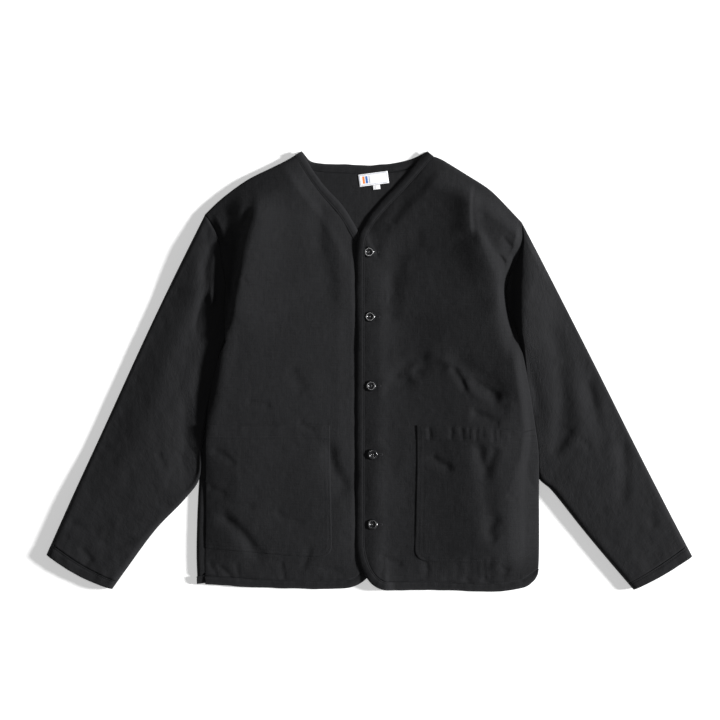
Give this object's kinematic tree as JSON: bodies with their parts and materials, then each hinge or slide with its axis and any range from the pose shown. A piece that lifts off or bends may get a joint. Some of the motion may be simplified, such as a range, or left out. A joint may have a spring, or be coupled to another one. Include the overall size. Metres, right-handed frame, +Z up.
{
  "type": "padded jacket",
  "caption": "Padded collarless V-neck jacket laid flat: lapped button front, long straight sleeves, patch pockets and bound edges.",
  "frame": {"origin": "centre of the laid garment's outline, on the surface that the back lies on", "axes": "+X towards the wearer's left side, which is the right of the picture, +Y towards the neck, +Z up, out of the front of the garment"},
  "size_m": [1.001, 0.6839, 0.0356],
  "materials": {
    "cloth": "black plain-woven cotton shell, matt with a faint sheen",
    "binding": "black woven edge binding, stitched down",
    "button": "polished black plastic",
    "label": "white satin-woven tape"
  },
  "bodies": {
    "root": {"back": "cloth", "front_left": "cloth", "front_right": "cloth", "sleeve_left": "cloth", "sleeve_right": "cloth", "binding_front_left": "binding", "binding_front_right": "binding", "binding_back_neck": "binding", "binding_back_hem": "binding", "cuff_left": "binding", "cuff_right": "binding", "pocket_left": "cloth", "pocket_right": "cloth", "button_1": "button", "button_2": "button", "button_3": "button", "button_4": "button", "button_5": "button", "label": "label", "size_tab": "label"}
  },
  "joints": []
}
